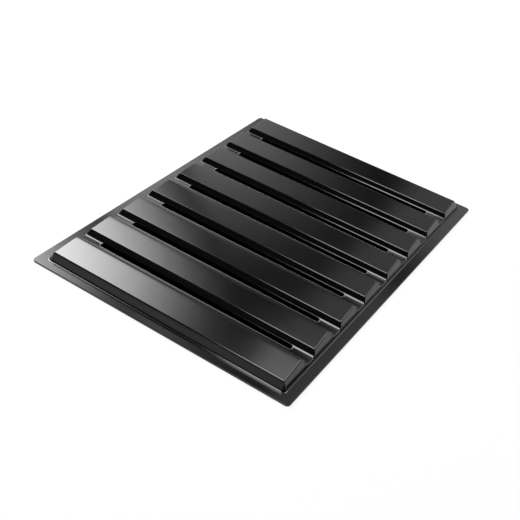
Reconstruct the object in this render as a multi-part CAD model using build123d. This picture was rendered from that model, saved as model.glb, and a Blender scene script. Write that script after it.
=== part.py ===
from build123d import *
import os
from math import cos, radians, tan

# Louvred vent panel, formed from one sheet of black plastic (millimetres).
# X runs along the slats, Y from the front edge to the back edge, Z up.
# The border's flat underside lies on Z = 0, and the origin is at its middle.

# Driving dimensions of the sheet and its flat border
sheet = 2.0                  # sheet thickness
panel_width = 300.0          # outer size along the slats
border_width = 11.0          # outer edge to the foot of the walls
border_corner_radius = 4.0   # trimmed corners of the border
foot_radius = 2.0            # hollow where the walls rise from the border

# Driving dimensions of the raised louvre field
wall_draft = 25.0            # lean of the four walls from the vertical, degrees
wall_corner_radius = 4.0     # round between one wall and the next
rim_radius = 1.4             # round where the walls meet the slats and grooves

# Driving dimensions of one louvre, repeated along Y
slat_count = 8
slat_pitch = 50.0            # one slat's front edge to the next
slat_run = 28.8              # front edge to back edge of a slat, in plan
first_slat_lead = 3.2        # how much further forward the first slat reaches
slat_front_height = 11.0     # top of the front edge, above the underside
slat_back_height = 14.0      # top of the back edge, above the underside
groove_height = 5.2          # top of the groove floor, above the underside
drop_run = 4.2               # steep face behind a slat, in plan
riser_run = 3.4              # face in front of a slat, in plan
front_edge_radius = 1.5      # slat's front edge
back_edge_radius = 3.5       # slat's back edge
drop_foot_radius = 9.0       # steep face to groove floor
riser_foot_radius = 4.5      # groove floor to the next slat's riser

# Driving dimensions of the routed air slots, one in each groove
slot_width = 5.5
slot_end_margin = 35.0       # outer edge of the panel to the end of a slot
slot_riser_gap = 0.2         # edge of the slot to the foot of the riser

# Sizes that follow from the driving dimensions
draft_slope = tan(radians(wall_draft))
slat_slope = (slat_back_height - slat_front_height) / slat_run
front_wall_top = slat_front_height - slat_slope * first_slat_lead
front_wall_run = (front_wall_top - sheet) * draft_slope
back_wall_run = (slat_back_height - sheet) * draft_slope
field_depth = first_slat_lead + (slat_count - 1) * slat_pitch + slat_run
panel_depth = 2 * border_width + front_wall_run + field_depth + back_wall_run
first_edge_y = -panel_depth / 2 + border_width + front_wall_run + first_slat_lead
front_edges = [first_edge_y + index * slat_pitch for index in range(slat_count)]
block_height = 2 * slat_back_height
section_plane = Plane(origin=(0, 0, 0), x_dir=(0, 1, 0), z_dir=(1, 0, 0))


def louvre_corners():
    """Corners of the top surface's section, as (y, z) points under each kind of corner."""
    return {
        "front_edge": [(y, slat_front_height) for y in front_edges[1:]],
        "back_edge": [(y + slat_run, slat_back_height) for y in front_edges[:-1]],
        "drop_foot": [(y + slat_run + drop_run, groove_height) for y in front_edges[:-1]],
        "riser_foot": [(y - riser_run, groove_height) for y in front_edges[1:]],
    }


def louvre_section(inset):
    """Closed section under the top surface, moved in by inset, with rounded corners."""
    corners = louvre_corners()
    reach = panel_depth / 2
    front_end = (-reach, slat_front_height - slat_slope * (front_edges[0] + reach))
    back_end = (reach, slat_front_height + slat_slope * (reach - front_edges[-1]))
    louvres = sorted(point for points in corners.values() for point in points)
    outline = [front_end, *louvres, back_end, (reach, -block_height), (-reach, -block_height)]
    section = make_face(Polyline(*outline, close=True))
    if inset:
        section = offset(section, amount=-inset, kind=Kind.INTERSECTION)
    radii = {
        "front_edge": front_edge_radius - inset,
        "back_edge": back_edge_radius - inset,
        "drop_foot": drop_foot_radius + inset,
        "riser_foot": riser_foot_radius + inset,
    }
    for kind, radius in radii.items():
        if radius > 0:
            rounded = [section.vertices().sort_by_distance((y, z, 0))[0] for y, z in corners[kind]]
            section = fillet(rounded, radius)
    return section


def louvre_block(inset):
    """Raised field as a solid body, moved in by inset: leaning walls under the louvre section."""
    spread = sheet * draft_slope - inset / cos(radians(wall_draft))
    width = panel_width - 2 * border_width + 2 * spread
    depth = panel_depth - 2 * border_width + 2 * spread
    walls = extrude(Rectangle(width, depth), amount=block_height, taper=wall_draft)
    upright_edges = [edge for edge in walls.edges() if edge.bounding_box().size.Z > sheet]
    corner_radius = wall_corner_radius - inset
    if corner_radius > 0:
        walls = fillet(upright_edges, corner_radius)
    tops = extrude(section_plane * louvre_section(inset), amount=panel_width, both=True)
    return walls & tops


def rim_edges(block):
    """Edges where the slats and grooves run out through the walls."""
    extents = [(face, face.bounding_box()) for face in block.faces()]
    walls = [face for face, box in extents if box.min.Z < sheet < box.max.Z]
    edges = [edge for wall in walls for edge in wall.edges() if edge.bounding_box().min.Z > sheet]
    return [edge for edge in edges if sum(edge.is_same(other) for other in edges) == 1]


def foot_edges(body, level):
    """Edges round the foot of the walls, on the border's flat face at one level."""
    flat_faces = body.faces().filter_by(Plane.XY)
    border_face = flat_faces.sort_by(lambda face: abs(face.center().Z - level))[0]
    return border_face.inner_wires().edges()


def air_slots():
    """Round-ended cutters, one in front of each riser."""
    length = panel_width - 2 * slot_end_margin
    middle_to_edge = riser_run + slot_riser_gap + slot_width / 2
    places = [(0, y - middle_to_edge) for y in front_edges[1:]]
    plan = Sketch() + Locations(*places) * SlotOverall(length, slot_width)
    return extrude(plan, amount=block_height)


def louvre_panel():
    """The whole formed sheet: border, walls, slats and routed slots, of one thickness."""
    field = louvre_block(0)
    field = fillet(rim_edges(field), rim_radius)
    body = extrude(RectangleRounded(panel_width, panel_depth, border_corner_radius), amount=sheet) + field
    body = fillet(foot_edges(body, sheet), foot_radius)
    body -= louvre_block(sheet)
    body = fillet(foot_edges(body, 0), foot_radius + sheet)
    return body - air_slots()


panel = louvre_panel()
print("panel", panel.bounding_box().size, "volume", panel.volume, "valid", panel.is_valid)
os.makedirs("parts", exist_ok=True)
export_step(panel, "parts/louvre_panel.step")
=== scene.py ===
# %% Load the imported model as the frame
import math
import bpy
from mathutils import Matrix, Vector


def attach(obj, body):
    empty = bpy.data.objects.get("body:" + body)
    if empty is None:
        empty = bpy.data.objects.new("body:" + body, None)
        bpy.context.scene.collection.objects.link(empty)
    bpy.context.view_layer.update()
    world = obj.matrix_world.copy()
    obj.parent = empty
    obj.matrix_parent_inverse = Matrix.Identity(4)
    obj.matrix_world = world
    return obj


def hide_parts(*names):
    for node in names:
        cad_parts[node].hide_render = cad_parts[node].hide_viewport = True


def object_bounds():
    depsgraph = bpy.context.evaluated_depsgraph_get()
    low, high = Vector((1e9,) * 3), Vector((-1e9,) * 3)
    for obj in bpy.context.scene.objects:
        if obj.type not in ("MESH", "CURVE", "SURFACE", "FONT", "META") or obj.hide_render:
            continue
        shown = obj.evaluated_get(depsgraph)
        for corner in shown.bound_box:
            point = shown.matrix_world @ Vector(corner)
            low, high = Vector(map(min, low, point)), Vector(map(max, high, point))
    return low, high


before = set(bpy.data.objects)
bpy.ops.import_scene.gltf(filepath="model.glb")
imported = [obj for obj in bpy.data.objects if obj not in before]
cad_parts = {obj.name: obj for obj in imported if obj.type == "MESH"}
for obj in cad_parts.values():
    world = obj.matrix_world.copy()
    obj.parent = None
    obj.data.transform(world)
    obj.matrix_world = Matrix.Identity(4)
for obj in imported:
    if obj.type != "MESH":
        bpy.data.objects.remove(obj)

cad_low, cad_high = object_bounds()
print("frame: nodes", sorted(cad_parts), "box", [round(v, 4) for v in (*cad_low, *cad_high)])

# %% [markdown]
# ## A vent panel formed from one sheet
# The object is a louvred vent panel. A sheet of black plastic was softened and drawn over a mould, so
# every form on it has the same thin wall and soft corners. A flat border runs round a raised field. In
# the field eight slats rise towards the back, and a groove lies between each slat and the next. A cutter
# has opened a long slot in every groove.
# The lesson builds the panel from one rule, gives it a worn black plastic, and lights it as a studio would.

# %% [markdown]
# ## Sums written as Python
# Geometry trees and shader trees both do their sums with Math nodes. Wiring those by hand hides the
# formula. Here a small class wraps a socket, and its operators add the Math nodes, so that the formula
# stays readable. One function makes every other node: it takes the node's type, its settings, and what
# goes into its sockets.

# %% Helpers for node trees


def fill_socket(tree, socket, value):
    """Links a Term, or each Term of a list, to a socket. Any other value is set on the socket itself."""
    if isinstance(value, Term):
        tree.links.new(value.socket, socket)
    elif isinstance(value, list):
        for term in value:
            tree.links.new(term.socket, socket)
    else:
        socket.default_value = value


def add_node(tree, kind, settings=None, inputs=None):
    """Adds a node. Settings come first, then the values or links of its sockets, by name or number."""
    node = tree.nodes.new(kind)
    for name, value in (settings or {}).items():
        if name == "items":
            while len(node.index_switch_items) < value:
                node.index_switch_items.new()
        else:
            setattr(node, name, value)
    for key, value in (inputs or {}).items():
        fill_socket(tree, node.inputs[key], value)
    return node


class Term:
    """A socket of a node tree. A sum written with Terms adds the Math nodes that work it out."""

    def __init__(self, tree, socket):
        self.tree = tree
        self.socket = socket

    def node(self, kind, settings=None, inputs=None, output=0):
        added = add_node(self.tree, kind, settings, inputs)
        return Term(self.tree, added.outputs[output])

    def math(self, operation, *values):
        return self.node("ShaderNodeMath", {"operation": operation}, dict(enumerate(values)))

    def vector(self, operation, *values, output=0):
        return self.node("ShaderNodeVectorMath", {"operation": operation}, dict(enumerate(values)), output)

    def scaled(self, factor):
        return self.node("ShaderNodeVectorMath", {"operation": "SCALE"}, {0: self, "Scale": factor})

    def unit(self):
        return self.vector("NORMALIZE", self)

    def part(self, letter):
        return self.node("ShaderNodeSeparateXYZ", inputs={0: self}, output=letter)

    def root(self):
        return self.math("SQRT", self)

    def at_least(self, lowest):
        return self.math("MAXIMUM", self, lowest)

    def at_most(self, highest):
        return self.math("MINIMUM", self, highest)

    def smooth_step(self, low, high, start=0.0, end=1.0):
        """A soft change from start to end while this Term goes from low to high."""
        return self.node("ShaderNodeMapRange", {"interpolation_type": "SMOOTHSTEP"},
                         {"Value": self, "From Min": low, "From Max": high, "To Min": start, "To Max": end})

    def mixed(self, low, high):
        """A colour between two colours, with this Term as the share of the second one."""
        inputs = {"Factor": self, 6: low, 7: high}
        return self.node("ShaderNodeMix", {"data_type": "RGBA"}, inputs, output=2)

    def __abs__(self):
        return self.math("ABSOLUTE", self)

    def __add__(self, other):
        return self.math("ADD", self, other)

    def __radd__(self, other):
        return self.math("ADD", other, self)

    def __sub__(self, other):
        return self.math("SUBTRACT", self, other)

    def __rsub__(self, other):
        return self.math("SUBTRACT", other, self)

    def __mul__(self, other):
        return self.math("MULTIPLY", self, other)

    def __rmul__(self, other):
        return self.math("MULTIPLY", other, self)

    def __truediv__(self, other):
        return self.math("DIVIDE", self, other)

    def __rtruediv__(self, other):
        return self.math("DIVIDE", other, self)

    def __lt__(self, other):
        return self.math("LESS_THAN", self, other)

    def __gt__(self, other):
        return self.math("GREATER_THAN", self, other)


print("helpers: Term and add_node")

# %% [markdown]
# ## The sizes
# The first list has the sizes of the solid model, in millimetres, and two that belong to the finish: the
# rounder back corners of the slats and the slots' small chamfer. Each one becomes a named input of the
# geometry tree, so the panel can be changed later without opening the tree. The tree itself works in
# metres, as the frame does, and so do the lengths under the list.

# %% Sizes of the panel
millimetre = 0.001
panel_sizes = {
    "Width": 300.0, "Border": 11.0, "Sheet": 2.0, "Border Corner": 4.0,
    "Slat Pitch": 50.0, "Slat Run": 28.8, "First Slat Lead": 3.2,
    "Front Height": 11.0, "Back Height": 14.0, "Groove Height": 5.2, "Drop Run": 4.2, "Riser Run": 3.4,
    "Front Edge Round": 1.5, "Back Edge Round": 3.5, "Drop Foot Round": 9.0, "Riser Foot Round": 4.5,
    "Rim Round": 1.4, "Slat Corner Round": 3.6, "Foot Round": 2.0, "Wall Corner Round": 4.0,
    "Slot Width": 5.5, "Slot End Margin": 35.0, "Slot Riser Gap": 0.2, "Slot Chamfer": 0.3,
}
slat_count = 8
wall_draft = math.radians(25.0)

arc_steps = 6                    # faces across each wall round
section_steps = 7                # points on each round of the slat section
longest_face = 0.004             # longest face along the section
middle_columns = 26              # faces along a slat, between its two ends
spare = 0.003                    # how far the untrimmed sheet runs past the border
rim_clearance = 0.0008           # flat left between a wall's round and the section's first or last point
inner_rim_share = 0.05           # round of the underside's rim, as a share of the sheet
corner_grows = (0.82, 1.02)      # shares of a slat's run between which its end corners grow rounder
corner_fades = (1.08, 1.3)       # shares of a slat's run between which that round fades into the groove
print("sizes:", len(panel_sizes), "lengths,", slat_count, "slats")

# %% [markdown]
# ## One rule for the whole sheet
# A formed sheet is a height over a plan. Two things set that height. The slat section gives the top as a
# function of Y. The four walls give a limit that depends on the distance in from the foot of the walls.
# The sheet follows the lower of the two, with a round where they meet and another where the wall leaves
# the border.
# The tree takes a flat box of many faces and moves its points to that height. Its rows lie on the
# section's own points and its columns on the rounds of the end walls, so the grid has a line wherever the
# form turns. The underside is the same rule with the wall moved in by the sheet's thickness.

# %% The geometry tree: its inputs and the corners of the slat section


def start_tree(name, lengths):
    """An empty geometry tree with a named input for each length, and those inputs as Terms."""
    tree = bpy.data.node_groups.new(name, "GeometryNodeTree")
    tree.interface.new_socket("Geometry", in_out="OUTPUT", socket_type="NodeSocketGeometry")
    for label in lengths:
        tree.interface.new_socket(label, in_out="INPUT", socket_type="NodeSocketFloat")
    tree.interface.new_socket("Slat Count", in_out="INPUT", socket_type="NodeSocketInt")
    tree.interface.new_socket("Wall Draft", in_out="INPUT", socket_type="NodeSocketFloat")
    inlet = tree.nodes.new("NodeGroupInput")
    labels = [*lengths, "Slat Count", "Wall Draft"]
    return tree, {label: Term(tree, inlet.outputs[label]) for label in labels}


tree, size = start_tree("louvre_sheet", panel_sizes)
maker = size["Width"]


def choose(test, yes, no, kind="FLOAT"):
    """The value yes where test is 1, and no elsewhere."""
    inputs = {"Switch": test, "False": no, "True": yes}
    return maker.node("GeometryNodeSwitch", {"input_type": kind}, inputs)


def pick(index, values):
    """The value at that place in a short list."""
    links = {place + 1: value for place, value in enumerate(values)}
    settings = {"data_type": "FLOAT", "items": len(values)}
    return maker.node("GeometryNodeIndexSwitch", settings, {0: index, **links})


def join_xyz(x, y, z):
    """One vector from three numbers."""
    return maker.node("ShaderNodeCombineXYZ", inputs={0: x, 1: y, 2: z})


def point_at(geometry, value, index):
    """A vector field read at one point of a geometry."""
    settings = {"data_type": "FLOAT_VECTOR", "domain": "POINT", "clamp": True}
    inputs = {"Geometry": geometry, "Value": value, "Index": index}
    return maker.node("GeometryNodeSampleIndex", settings, inputs)


def keep_as(geometry, label, kind, value):
    """The geometry with a value stored on its points under a name."""
    settings = {"data_type": kind, "domain": "POINT"}
    inputs = {"Geometry": geometry, "Name": label, "Value": value}
    return maker.node("GeometryNodeStoreNamedAttribute", settings, inputs)


def kept(label, kind):
    """A value that was stored on points under a name."""
    return maker.node("GeometryNodeInputNamedAttribute", {"data_type": kind}, {"Name": label})


index = maker.node("GeometryNodeInputIndex")
position = maker.node("GeometryNodeInputPosition")

draft_slope = maker.math("TANGENT", size["Wall Draft"])
wall_angle = math.pi / 2 - size["Wall Draft"]
wall_sine = maker.math("SINE", wall_angle)
half_tangent = maker.math("TANGENT", wall_angle * 0.5)
slat_slope = (size["Back Height"] - size["Front Height"]) / size["Slat Run"]
slat_lean = (1 + slat_slope * slat_slope).root()
gaps = size["Slat Count"] - 1
front_top = size["Front Height"] - slat_slope * size["First Slat Lead"]
front_run = (front_top - size["Sheet"]) * draft_slope
back_run = (size["Back Height"] - size["Sheet"]) * draft_slope
field_depth = size["First Slat Lead"] + gaps * size["Slat Pitch"] + size["Slat Run"]
depth = 2 * size["Border"] + front_run + field_depth + back_run
front_foot = size["Border"] - depth * 0.5
back_foot = depth * 0.5 - size["Border"]
first_edge = front_foot + front_run + size["First Slat Lead"]
last_edge = first_edge + gaps * size["Slat Pitch"]

# Each groove has four corners, and the section has one more point at either end.
# A whole number is compared with a half, because Math nodes work with fractions.
groove_corners = 4
corner_count = gaps * groove_corners + 2
corner_points = maker.node("GeometryNodePoints", inputs={"Count": corner_count})
step = index - 1
tooth = maker.math("FLOOR", step / groove_corners)
corner_kind = step - tooth * groove_corners
is_first = index < 0.5
is_last = index > corner_count - 1.5
is_end = is_first + is_last
inside_rim = size["Rim Round"] * half_tangent + rim_clearance
end_shift = is_first * (inside_rim - size["First Slat Lead"]) - is_last * inside_rim
run_to_corner = pick(corner_kind, [size["Slat Run"], size["Slat Run"] + size["Drop Run"],
                                   size["Slat Pitch"] - size["Riser Run"], size["Slat Pitch"]])
corner_height = pick(corner_kind, [size["Back Height"], size["Groove Height"],
                                   size["Groove Height"], size["Front Height"]])
corner_round = pick(corner_kind, [size["Back Edge Round"], size["Drop Foot Round"],
                                  size["Riser Foot Round"], size["Front Edge Round"]]) * (1 - is_end)
corner_y = first_edge + tooth * size["Slat Pitch"] + run_to_corner + end_shift
corner_place = join_xyz(0.0, corner_y, corner_height + end_shift * slat_slope)
corner_points = maker.node("GeometryNodeSetPosition",
                           inputs={"Geometry": corner_points, "Position": corner_place})
print("tree:", len(tree.nodes), "nodes for the corners of the section")

# %% [markdown]
# ## Rounding the section, outside and in
# Fillet Curve rounds the corners of the top. The underside of the same corner has another radius: smaller
# by the sheet where the corner stands out, larger where it turns in. Each corner keeps the centre of its
# round, so the underside's point is found from the same centre with the other radius.

# %% The rounded section, with the underside kept beside the top


def towards(neighbour):
    """Unit vector from a corner of the section to another one."""
    return position.vector("SUBTRACT", point_at(corner_points, position, neighbour), position).unit()


before = towards(index - 1)
after = towards(index + 1)
spread_cosine = maker.vector("DOT_PRODUCT", before, after, output="Value")
corner_half = ((1 - spread_cosine) * 0.5).root()
end_half = choose(is_end, 1.0, corner_half)
inward = maker.vector("ADD", before, after).unit()
down_normal = join_xyz(0.0, slat_slope / slat_lean, -1 / slat_lean)
inward = choose(is_end, down_normal, inward, "VECTOR")
stands_out = inward.part("Z") < 0.0
centre = maker.vector("ADD", position, inward.scaled(corner_round / end_half))
shortfall = stands_out * (size["Sheet"] - corner_round).at_least(0.0)
inner_centre = maker.vector("ADD", centre, inward.scaled(shortfall / end_half))
inner_round = choose(stands_out, (corner_round - size["Sheet"]).at_least(0.0), corner_round + size["Sheet"])

section = maker.node("GeometryNodePointsToCurves", inputs={"Points": corner_points})
section = keep_as(section, "centre", "FLOAT_VECTOR", centre)
section = keep_as(section, "inner_centre", "FLOAT_VECTOR", inner_centre)
section = keep_as(section, "inner_round", "FLOAT", inner_round)
section = maker.node("GeometryNodeFilletCurve", {"mode": "POLY"},
                     {"Curve": section, "Count": section_steps, "Radius": corner_round})
from_centre = maker.vector("SUBTRACT", position, kept("centre", "FLOAT_VECTOR")).unit()
inner_place = maker.vector("ADD", kept("inner_centre", "FLOAT_VECTOR"),
                           from_centre.scaled(kept("inner_round", "FLOAT")))
section = keep_as(section, "inner", "FLOAT_VECTOR", inner_place)
to_next = maker.vector("DISTANCE", position, point_at(section, position, index + 1), output="Value")
section = maker.node("GeometryNodeSubdivideCurve",
                     inputs={"Curve": section, "Cuts": maker.math("FLOOR", to_next / longest_face)})
section_count = maker.node("GeometryNodeAttributeDomainSize", {"component": "CURVE"},
                           {"Geometry": section}, output="Point Count")
print("tree:", len(tree.nodes), "nodes with the rounded section")

# %% [markdown]
# ## The grid of rows and columns
# A box with two layers of points is already closed, so nothing has to be stitched. Rows at the front and
# back, and columns at both ends, follow the rounds of the walls. The other rows are the section's points.
# The back corners of the slats are rounder than the rest of the rim, as a drawn sheet leaves them.

# %% Rows, columns and heights
wall_lines = 2 * arc_steps + 4
row_count = section_count + 2 * wall_lines
column_count = 2 * wall_lines + middle_columns - 1
column = maker.math("ROUND", (position.part("X") + 0.5) * (column_count - 1))
row = maker.math("ROUND", (position.part("Y") + 0.5) * (row_count - 1))
half_width = size["Width"] * 0.5 - size["Border"]


def foot_start(start, foot_round):
    """Distance in from the foot of the wall to where the round on the border begins."""
    return start - foot_round * half_tangent


def rim_end(top, level, start, rim_round):
    """Distance in from the foot of the wall to where the round under a slat of height top ends."""
    return start + (top - level) * draft_slope + rim_round * half_tangent


def wall_line(line, top, level, start, foot_round, rim_round):
    """Distance in from the foot of the wall to one line of the grid, where the wall ends at height top."""
    foot_step = (line - 1).at_least(0.0).at_most(arc_steps)
    rim_step = (line - (arc_steps + 3)).at_least(0.0).at_most(arc_steps)
    foot_middle = foot_start(start, foot_round)
    rim_middle = rim_end(top, level, start, rim_round)
    on_foot = foot_middle + foot_round * maker.math("SINE", wall_angle * foot_step / arc_steps)
    on_rim = rim_middle - rim_round * maker.math("SINE", wall_angle * (1 - rim_step / arc_steps))
    on_wall = 0.5 * (foot_middle + foot_round * wall_sine + rim_middle - rim_round * wall_sine)
    upper = choose(line < arc_steps + 2.5, on_wall, on_rim)
    lower = choose(line < 0.5, 0 - size["Border"] - spare, on_foot)
    return choose(line < arc_steps + 1.5, lower, upper)


def sheet_height(inset, top, level, start, foot_round, rim_round):
    """Height of the sheet at a distance in from the foot of the wall, under a slat of height top."""
    rim_side = rim_end(top, level, start, rim_round) - inset
    foot_side = inset - foot_start(start, foot_round)
    rim_rise = (rim_round * rim_round - rim_side * rim_side).at_least(0.0).root()
    foot_rise = (foot_round * foot_round - foot_side * foot_side).at_least(0.0).root()
    wall = level + (inset - start) / draft_slope
    rim = choose(rim_side < rim_round * wall_sine, top - rim_round + rim_rise, wall)
    raised = choose(rim_side < 0.0, top, rim)
    foot = choose(foot_side < 0.0, level, level + foot_round - foot_rise)
    return choose(foot_side < foot_round * wall_sine, foot, raised)


def slat_corner_share(y):
    """How much of the extra round of a slat's back corner there is at y, from 0 to 1."""
    beyond_edge = (y - first_edge) / size["Slat Pitch"]
    beyond_edge = beyond_edge - maker.math("FLOOR", beyond_edge)
    along_slat = beyond_edge * size["Slat Pitch"] / size["Slat Run"]
    return along_slat.smooth_step(*corner_grows) - along_slat.smooth_step(*corner_fades)


def distance_in(x, y):
    """Distance in from the foot of the nearest wall, with a round between one wall and the next."""
    corner_x = size["Wall Corner Round"] - (half_width - abs(x))
    corner_y = size["Wall Corner Round"] - (y - front_foot).at_most(back_foot - y)
    past_x = corner_x.at_least(0.0)
    past_y = corner_y.at_least(0.0)
    past = (past_x * past_x + past_y * past_y).root()
    beyond = corner_x.at_least(corner_y).at_most(0.0)
    return size["Wall Corner Round"] - past - beyond


def sheet_surface(section_place, drop, level, start, foot_round, rim_round, corner_extra):
    """Points of one face of the sheet. Its slats lie lower than the top by drop, its border lies at level,
    its wall is moved in by start, and the slats' back corners add corner_extra to the rim's round."""
    back_row = row_count - 1 - row
    front_y = front_foot + wall_line(row, front_top - drop, level, start, foot_round, rim_round)
    back_top = size["Back Height"] - drop
    back_y = back_foot - wall_line(back_row, back_top, level, start, foot_round, rim_round)
    at_front = row < wall_lines - 0.5
    at_back = back_row < wall_lines - 0.5
    y = choose(at_front, front_y, choose(at_back, back_y, section_place.part("Y")))
    front_slat = size["Front Height"] + slat_slope * (y - first_edge) - drop
    back_slat = size["Front Height"] + slat_slope * (y - last_edge) - drop
    top = choose(at_front, front_slat, choose(at_back, back_slat, section_place.part("Z")))
    corner_share = choose(at_front + at_back, 0.0, slat_corner_share(y))
    end_rim = rim_round + corner_share * corner_extra
    end_line = column.at_most(column_count - 1 - column)
    at_end = half_width - wall_line(end_line, top, level, start, foot_round, end_rim)
    last_line = half_width - rim_end(top, level, start, end_rim)
    along = (column - (wall_lines - 1)) / middle_columns
    side = maker.math("SIGN", column - (column_count - 1) * 0.5)
    x = choose(end_line < wall_lines - 0.5, side * at_end, last_line * (2 * along - 1))
    return join_xyz(x, y, sheet_height(distance_in(x, y), top, level, start, foot_round, end_rim))


blank = maker.node("GeometryNodeMeshCube", inputs={
    "Size": (1.0, 1.0, 1.0), "Vertices X": column_count, "Vertices Y": row_count, "Vertices Z": 2})
section_row = row - wall_lines
top_surface = sheet_surface(
    point_at(section, position, section_row),
    drop=0.0,
    level=size["Sheet"],
    start=0.0,
    foot_round=size["Foot Round"],
    rim_round=size["Rim Round"],
    corner_extra=size["Slat Corner Round"] - size["Rim Round"])
under_surface = sheet_surface(
    point_at(section, kept("inner", "FLOAT_VECTOR"), section_row),
    drop=size["Sheet"] * slat_lean,
    level=0.0,
    start=size["Sheet"] / maker.math("COSINE", size["Wall Draft"]) - size["Sheet"] * draft_slope,
    foot_round=size["Foot Round"] + size["Sheet"],
    rim_round=size["Sheet"] * inner_rim_share,
    corner_extra=(size["Slat Corner Round"] - size["Sheet"]).at_least(0.0))
surface = choose(position.part("Z") > 0.0, top_surface, under_surface, "VECTOR")
sheet = maker.node("GeometryNodeSetPosition", inputs={"Geometry": blank, "Position": surface})
print("tree:", len(tree.nodes), "nodes with the formed sheet")

# %% [markdown]
# ## Trimming and routing
# After forming, the sheet is trimmed to its outline and a cutter runs along each groove. The tree does the
# same with booleans. A stretched cylinder is a round-ended slot. A stretched cone, set a little forward of
# it, breaks the slot's near lip. One cutter is instanced at every groove, and the instances are made real
# before the cut.

# %% Trim the border and cut the slots
trim_corner_steps = 10           # points on each trimmed corner of the border
trim_base = -0.01                # underside of the trimming block, below the sheet
cutter_height = 0.04             # more than the sheet needs, so that every cut goes right through
cutter_sides = 48                # sides of a round cutter
weld_distance = 0.00001          # points of the trimming block closer than this are one point
flare_ratio = 1.6                # height of the cone, in chamfers


def stretched(cutter, length):
    """A round cutter pulled out along X, so that its plan is a slot of that length between end centres."""
    offset = join_xyz(maker.math("SIGN", position.part("X")) * length * 0.5, 0.0, 0.0)
    return maker.node("GeometryNodeSetPosition", inputs={"Geometry": cutter, "Offset": offset})


def moved(geometry, place):
    """The geometry moved by a vector."""
    return maker.node("GeometryNodeTransform", inputs={"Geometry": geometry, "Translation": place})


def cut(solid, cutters):
    """The solid without the cutters."""
    return maker.node("GeometryNodeMeshBoolean", {"operation": "DIFFERENCE", "solver": "EXACT"},
                      {"Mesh 1": solid, "Mesh 2": cutters})


outline = maker.node("GeometryNodeCurvePrimitiveQuadrilateral",
                     inputs={"Width": size["Width"], "Height": depth})
outline = maker.node("GeometryNodeFilletCurve", {"mode": "POLY"},
                     {"Curve": outline, "Count": trim_corner_steps, "Radius": size["Border Corner"]})
trim_face = maker.node("GeometryNodeFillCurve", {"mode": "NGONS"}, {"Curve": outline})
trim_face = moved(trim_face, (0.0, 0.0, trim_base))
trim_block = maker.node("GeometryNodeExtrudeMesh", {"mode": "FACES"}, {
    "Mesh": trim_face, "Offset": (0.0, 0.0, 1.0), "Offset Scale": cutter_height, "Individual": False})
trim_floor = maker.node("GeometryNodeFlipFaces", inputs={"Mesh": trim_face})
trim_block = maker.node("GeometryNodeJoinGeometry", inputs={"Geometry": [trim_block, trim_floor]})
trim_block = maker.node("GeometryNodeMergeByDistance",
                        inputs={"Geometry": trim_block, "Distance": weld_distance})
trimmed = maker.node("GeometryNodeMeshBoolean", {"operation": "INTERSECT", "solver": "EXACT"},
                     {"Mesh 2": [sheet, trim_block]})

slot_reach = size["Width"] - 2 * size["Slot End Margin"] - size["Slot Width"]
slot_radius = size["Slot Width"] * 0.5
slot_to_edge = size["Riser Run"] + size["Slot Riser Gap"] + slot_radius
slot_y = first_edge + (index + 1) * size["Slat Pitch"] - slot_to_edge
slot_points = maker.node("GeometryNodePoints",
                         inputs={"Count": gaps, "Position": join_xyz(0.0, slot_y, 0.0)})
through = maker.node("GeometryNodeMeshCylinder", {"fill_type": "NGON"},
                     {"Vertices": cutter_sides, "Radius": slot_radius, "Depth": cutter_height})
flare_height = size["Slot Chamfer"] * flare_ratio
flare = maker.node("GeometryNodeMeshCone", {"fill_type": "NGON"}, {
    "Vertices": cutter_sides, "Radius Bottom": slot_radius, "Radius Top": slot_radius + flare_height,
    "Depth": flare_height})
flare = moved(flare, join_xyz(0.0, -1 * size["Slot Chamfer"], size["Groove Height"] - size["Slot Chamfer"]))


def at_every_groove(cutter):
    """One real copy of the cutter for every groove."""
    copies = maker.node("GeometryNodeInstanceOnPoints", inputs={"Points": slot_points, "Instance": cutter})
    return maker.node("GeometryNodeRealizeInstances", inputs={"Geometry": copies})


slotted = cut(trimmed, at_every_groove(stretched(through, slot_reach)))
slotted = cut(slotted, at_every_groove(stretched(flare, slot_reach)))
print("tree:", len(tree.nodes), "nodes with the slots")

# %% [markdown]
# ## Finish the tree and make it a plain mesh
# The tree ends by making everything real and setting the material. The object then carries a Bevel for the
# trimmed edges and a Weighted Normal, which keeps the wide flats flat next to their small rounds.

# %% The panel as a mesh
crease = math.radians(32.0)          # edges that turn by more than this are shaded sharp
trimmed_turn = math.radians(80.0)    # edges that turn by more than this were trimmed or cut
trimmed_round = 0.00025              # how far those edges are softened

edge_angle = maker.node("GeometryNodeInputMeshEdgeAngle", output="Unsigned Angle")
smooth = maker.node("GeometryNodeSetShadeSmooth", {"domain": "FACE"},
                    {"Geometry": slotted, "Shade Smooth": True})
smooth = maker.node("GeometryNodeSetShadeSmooth", {"domain": "EDGE"},
                    {"Geometry": smooth, "Selection": edge_angle > crease, "Shade Smooth": False})
real = maker.node("GeometryNodeRealizeInstances", inputs={"Geometry": smooth})
black_plastic = bpy.data.materials.new("black_formed_plastic")
finished = maker.node("GeometryNodeSetMaterial", inputs={"Geometry": real, "Material": black_plastic})
outlet = tree.nodes.new("NodeGroupOutput")
tree.links.new(finished.socket, outlet.inputs["Geometry"])

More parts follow.
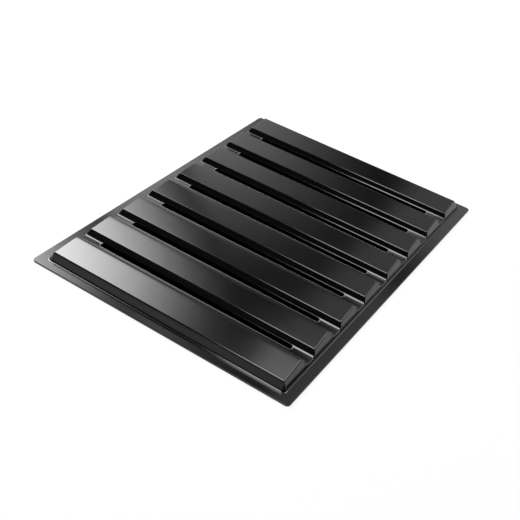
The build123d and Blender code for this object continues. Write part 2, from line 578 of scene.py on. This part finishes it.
blank_mesh = bpy.data.meshes.new("louvre_sheet_blank")
builder = bpy.data.objects.new("louvre_sheet_builder", blank_mesh)
bpy.context.scene.collection.objects.link(builder)
grow = builder.modifiers.new("louvre_sheet", "NODES")
grow.node_group = tree
sizes_m = {name: value * millimetre for name, value in panel_sizes.items()}
tree_values = {**sizes_m, "Slat Count": slat_count, "Wall Draft": wall_draft}
for item in tree.interface.items_tree:
    if item.in_out == "INPUT":
        grow[item.identifier] = tree_values[item.name]
soften = builder.modifiers.new("trimmed_edges", "BEVEL")
soften.width = trimmed_round
soften.segments = 2
soften.limit_method = "ANGLE"
soften.angle_limit = trimmed_turn
soften.use_clamp_overlap = False
flatten = builder.modifiers.new("flat_slats", "WEIGHTED_NORMAL")
flatten.keep_sharp = True

depsgraph = bpy.context.evaluated_depsgraph_get()
panel_mesh = bpy.data.meshes.new_from_object(builder.evaluated_get(depsgraph), depsgraph=depsgraph)
panel_mesh.name = "louvre_panel_sheet"
bpy.data.objects.remove(builder)
panel = bpy.data.objects.new("louvre_panel_sheet", panel_mesh)
bpy.context.scene.collection.objects.link(panel)
panel_mesh.calc_loop_triangles()
print("panel:", len(panel_mesh.vertices), "points,", len(panel_mesh.loop_triangles), "triangles")

# %% [markdown]
# ## Black formed plastic
# The sheet is black all through, with a soft gloss from the mould. What the eye reads is not the colour but
# how reflections bend and blur. So the colour hardly varies, the roughness does, and a fine bump makes the
# sheet a little uneven. Wiping has left faint scuffs, mostly along the slats. The near lip of each slot is
# rougher where the cutter ran, and its paler grey is a painted highlight. A mask finds that lip from the
# sizes of the panel.

# %% The plastic's nodes
sheet_black = (0.0034, 0.0035, 0.0036, 1.0)
scuffed_black = (0.0075, 0.0075, 0.0078, 1.0)
# painted highlight: the grey below colours the slots' near lips, standing in for the shine along them
lip_highlight_grey = (0.16, 0.16, 0.16, 1.0)
wipe_stretch = (0.12, 1.0, 1.0)      # scuffs are long along the slats
scuff_band = (0.58, 0.74)            # noise between these values turns into scuffs
lip_highlight_fade = (0.0014, 0.0006)          # distances from the slot at which the pale lip is gone, and is full
lip_rise = 0.0006                    # how far the lip may lie above the groove floor
near_share = 0.4                     # where the lip stops behind the slot's middle, in slot widths
wave_height, grain_height = 0.6, 0.002
bump_strength = 0.12
plastic_ior = 1.52

black_plastic.use_nodes = True
paint = black_plastic.node_tree
shader = paint.nodes["Principled BSDF"]
shader.inputs["IOR"].default_value = plastic_ior
coordinates = add_node(paint, "ShaderNodeTexCoord")
place = Term(paint, coordinates.outputs["Object"])


def noise(where, scale, detail, roughness):
    """Soft random values between 0 and 1."""
    return place.node("ShaderNodeTexNoise", inputs={
        "Vector": where, "Scale": scale, "Detail": detail, "Roughness": roughness})


cloud = noise(place, scale=14.0, detail=3.0, roughness=0.5)
grain = noise(place, scale=1400.0, detail=2.0, roughness=0.6)
wave = noise(place, scale=22.0, detail=2.0, roughness=0.5)
wiped = place.node("ShaderNodeMapping", inputs={"Vector": place, "Scale": wipe_stretch})
scuffs = noise(wiped, scale=900.0, detail=4.0, roughness=0.65)
scuffs = place.node("ShaderNodeMapRange", {"clamp": True},
                    {"Value": scuffs, "From Min": scuff_band[0], "From Max": scuff_band[1]})
scuffs = scuffs * cloud

slat_rise = (sizes_m["Back Height"] - sizes_m["Front Height"]) / sizes_m["Slat Run"]
front_wall_top = sizes_m["Front Height"] - slat_rise * sizes_m["First Slat Lead"]
front_wall_run = (front_wall_top - sizes_m["Sheet"]) * math.tan(wall_draft)
first_front_edge = cad_low[1] + sizes_m["Border"] + front_wall_run + sizes_m["First Slat Lead"]
slot_half_width = sizes_m["Slot Width"] / 2
first_slot = first_front_edge - sizes_m["Riser Run"] - sizes_m["Slot Riser Gap"] - slot_half_width
slot_half_length = sizes_m["Width"] / 2 - sizes_m["Slot End Margin"] - slot_half_width
pitches = (place.part("Y") - first_slot) / sizes_m["Slat Pitch"]
slot_number = pitches.math("ROUND", pitches)
beside_slot = (pitches - slot_number) * sizes_m["Slat Pitch"]
past_end = (abs(place.part("X")) - slot_half_length).at_least(0.0)
from_slot = (beside_slot * beside_slot + past_end * past_end).root() - slot_half_width
near_slot = from_slot.smooth_step(*lip_highlight_fade)
in_groove = place.part("Z") < sizes_m["Groove Height"] + lip_rise
near_side = beside_slot < sizes_m["Slot Width"] * near_share
has_slot = (slot_number > 0.5) * (slot_number < slat_count - 0.5)
lip_painted_highlight = near_slot * in_groove * near_side * has_slot

# Roughness of the clean sheet, and what each kind of unevenness adds to it
clean, clouded, scuffed, grained, routed = 0.08, 0.05, 0.08, 0.02, 0.25
roughness = clean + clouded * cloud + scuffed * scuffs + grained * grain + routed * lip_painted_highlight
fill_socket(paint, shader.inputs["Roughness"], roughness)
# painted highlight: the near lip of each slot is mixed towards the grey, standing in for its shine
shade = lip_painted_highlight.mixed(scuffs.mixed(sheet_black, scuffed_black), lip_highlight_grey)
fill_socket(paint, shader.inputs["Base Color"], shade)
ripple = wave_height * wave + grain_height * grain
bumped = place.node("ShaderNodeBump", inputs={
    "Strength": bump_strength, "Distance": millimetre, "Height": ripple})
fill_socket(paint, shader.inputs["Normal"], bumped)
print("plastic:", len(paint.nodes), "nodes")

# %% [markdown]
# ## Put the panel in the frame
# The mesh already lies where the solid model lies, so the object stays at the origin. It replaces the
# solid for the eye, and rides on the only body.

# %% Hand the panel to the frame
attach(panel, "root")
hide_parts("louvre_panel")
print("panel rides on root and replaces louvre_panel")

# %% [markdown]
# ## A floor and a backdrop
# Black gloss shows the room more than itself, so the room is built with care. The floor is white to
# the camera and to reflections, and still takes a faint shadow. Under the panel it has no glow, and its
# colour is near black, a painted shade, so the slots look down into the dark. The world is white near the
# horizon and nearly black overhead.

# %% Floor and backdrop
floor_side = 24.0
floor_gap = 0.0002                   # floor under the panel, so that their faces don't share a plane
floor_glow = 0.86                    # share of the floor's white that is the same in light and in shadow
floor_roughness = 0.9
# painted shade: the floor's colour under the panel is near black, standing in for the shade there
painted_shade_floor = (0.004, 0.004, 0.004, 1.0)
pale_floor = (0.86, 0.86, 0.86, 1.0)
painted_shade_edge = (-0.012, -0.001)        # band under the panel's border where the floor turns white


def rectangle(name, width, height, paint_name):
    """A flat rectangle round its own origin, and the node tree of its material."""
    x, y = width / 2, height / 2
    mesh = bpy.data.meshes.new(name)
    mesh.from_pydata([(-x, -y, 0), (x, -y, 0), (x, y, 0), (-x, y, 0)], [], [(0, 1, 2, 3)])
    finish = bpy.data.materials.new(paint_name)
    finish.use_nodes = True
    mesh.materials.append(finish)
    flat = bpy.data.objects.new(name, mesh)
    bpy.context.scene.collection.objects.link(flat)
    return flat, finish.node_tree


def place_on(tree):
    """Object coordinates in the tree of a material."""
    return Term(tree, add_node(tree, "ShaderNodeTexCoord").outputs["Object"])


def show(tree, surface):
    """Makes a shader the surface of a material."""
    tree.links.new(surface.socket, tree.nodes["Material Output"].inputs["Surface"])


floor, white = rectangle("studio_floor", floor_side, floor_side, "studio_white")
floor.location.z = cad_low[2] - floor_gap
matt = white.nodes["Principled BSDF"]
matt.inputs["Roughness"].default_value = floor_roughness
matt.inputs["Specular IOR Level"].default_value = 0.0
rays = add_node(white, "ShaderNodeLightPath")
seen = Term(white, rays.outputs["Is Camera Ray"]) + Term(white, rays.outputs["Is Glossy Ray"])
seen = (seen + Term(white, rays.outputs["Is Transmission Ray"])).at_most(1.0)
spot = place_on(white)
beside = (abs(spot.part("X")) - cad_high[0]).at_least(abs(spot.part("Y")) - cad_high[1])
outside_painted_shade = beside.smooth_step(*painted_shade_edge)
# painted shade: the floor is coloured near black under the panel
fill_socket(white, matt.inputs["Base Color"], outside_painted_shade.mixed(painted_shade_floor, pale_floor))
glow = seen.node("ShaderNodeEmission", inputs={"Color": (1.0, 1.0, 1.0, 1.0), "Strength": 1.0})
show(white, seen.node("ShaderNodeMixShader", inputs={
    0: floor_glow * seen * outside_painted_shade, 1: Term(white, matt.outputs[0]), 2: glow}))

world = bpy.context.scene.world or bpy.data.worlds.new("studio")
bpy.context.scene.world = world
world.use_nodes = True
air = world.node_tree
sky = air.nodes["Background"]
heading = Term(air, add_node(air, "ShaderNodeTexCoord").outputs["Generated"])
rise = heading.part("Z")
horizon = rise.smooth_step(low=0.05, high=0.36, start=0.2, end=0.03)
behind = heading.part("Y").smooth_step(low=0.1, high=0.7, start=0.0, end=0.12)
backdrop = rise.smooth_step(low=0.04, high=0.08, start=0.6, end=0.0)
fill_socket(air, sky.inputs["Color"], horizon + behind + backdrop)
sky.inputs["Strength"].default_value = 1.0
print("floor", floor_side, "m wide, world of", len(air.nodes), "nodes")

# %% [markdown]
# ## Glowing cards for lamps
# Each slat mirrors a strip of the room, so the lamps are glowing cards, placed where the slats reflect
# them. The brightest stands on the left, and its edges fade, so the shine fades along the slats too.
# Weaker ones lie behind the panel and on the right, and four hang overhead, facing straight down. They
# are hidden from the camera.

# %% Lamps
ceiling = 2.0                        # height of the cards that hang overhead
middle = (0.0, 0.0, 0.0)


def soft_card(name, place, width, height, radiance, fade, aim=middle):
    """A glowing card that faces a point. Its light fades over shares of its half width and half height."""
    card, nodes = rectangle(name, width, height, name)
    out = (Vector(place) - Vector(aim)).normalized()
    card.matrix_world = Matrix.Translation(place) @ out.to_track_quat("Z", "Y").to_matrix().to_4x4()
    card.visible_camera = False
    spot = place_on(nodes)
    from_side = 1 - abs(spot.part("X")) / (width / 2)
    from_top = 1 - abs(spot.part("Y")) / (height / 2)
    light = from_side.smooth_step(0.0, fade[0]) * from_top.smooth_step(0.0, fade[1])
    show(nodes, spot.node("ShaderNodeEmission", inputs={"Color": light, "Strength": radiance}))
    print(name, [round(v, 2) for v in card.location], "radiance", radiance)


def ceiling_card(name, x, y, width, height, radiance, fade):
    """A glowing card overhead that faces straight down."""
    soft_card(name, (x, y, ceiling), width, height, radiance, fade, aim=(x, y, 0.0))


soft_card("lamp_left", (-2.48, 0.94, 2.24), width=2.7, height=2.7, radiance=17.0, fade=(0.82, 0.7))
soft_card("lamp_left_back", (-2.36, 2.7, 2.1), width=2.5, height=3.2, radiance=2.3, fade=(1.0, 0.9))
ceiling_card("lamp_overhead", -0.5, -0.2, width=0.4, height=1.7, radiance=10.0, fade=(0.2, 0.3))
ceiling_card("lamp_ceiling_front", -0.16, 0.95, width=1.1, height=0.46, radiance=2.4, fade=(0.05, 0.2))
ceiling_card("lamp_ceiling_back", -0.15, 1.85, width=1.1, height=1.36, radiance=0.62, fade=(0.05, 0.05))
soft_card("lamp_back_right", (-0.12, 3.53, 1.88), width=2.0, height=1.3, radiance=0.9, fade=(0.4, 0.6))
ceiling_card("lamp_ceiling_right", 0.2, 1.15, width=1.0, height=0.7, radiance=9.0, fade=(0.3, 0.3))
soft_card("lamp_behind_right", (1.3, 2.44, 2.16), width=1.6, height=1.6, radiance=2.5, fade=(0.4, 0.4))
soft_card("lamp_right", (1.67, 2.89, 1.35), width=3.4, height=2.4, radiance=1.4, fade=(0.8, 0.8))

# %% [markdown]
# ## The camera
# The place, the axes and the focal length were fitted to the straight edges of the photographed panel.
# The third axis follows from the other two.

# %% Camera
camera_place = Vector((0.35809, -0.70771, 0.56086))
camera_right = Vector((0.82922, 0.54272, 0.13356))
camera_up = Vector((-0.42182, 0.45091, 0.78661))
camera_back = camera_right.cross(camera_up)
focal_length, film_width = 61.86, 36.0    # millimetres

lens = bpy.data.cameras.new("camera")
lens.lens = focal_length
lens.sensor_width = film_width
camera = bpy.data.objects.new("camera", lens)
bpy.context.scene.collection.objects.link(camera)
axes = Matrix((camera_right, camera_up, camera_back)).transposed().to_4x4()
camera.matrix_world = Matrix.Translation(camera_place) @ axes
bpy.context.scene.camera = camera
bpy.context.scene.view_settings.view_transform = "Standard"
print("camera", [round(v, 3) for v in camera.location])
